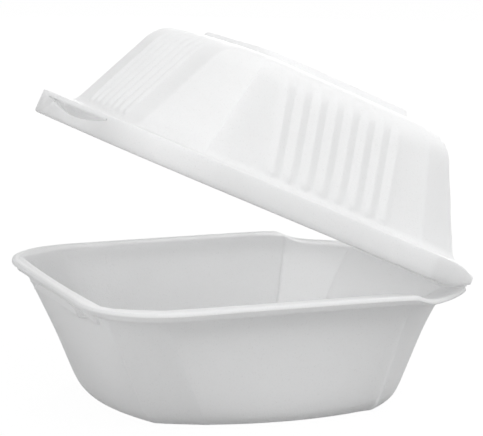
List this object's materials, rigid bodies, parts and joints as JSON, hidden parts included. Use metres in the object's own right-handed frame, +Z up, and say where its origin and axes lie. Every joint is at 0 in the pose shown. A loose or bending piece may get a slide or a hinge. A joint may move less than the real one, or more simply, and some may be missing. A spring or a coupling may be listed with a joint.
{
  "type": "foam clamshell container",
  "caption": "Hinged white foam food container: a tapered tray with a turned-down rim and a ribbed domed lid on a fold, with a slot-and-catch latch at the front.",
  "frame": {"origin": "centre of the tray's flat underside, on the table", "axes": "+Z up, +Y towards the fold at the rear, -Y towards the latch at the front, X across the container"},
  "size_m": [0.1342, 0.136, 0.1238],
  "materials": {
    "foam": "matte foamed sheet with a fine cell texture"
  },
  "bodies": {
    "base": {"base": "foam"},
    "lid": {"lid": "foam"}
  },
  "joints": [
    {"name": "lid_hinge", "type": "hinge", "parent": "base", "child": "lid", "pos_m": [0, 0.0694, 0.0399], "axis": [-1, 0, 0], "range_deg": [-24.6, 140]}
  ]
}
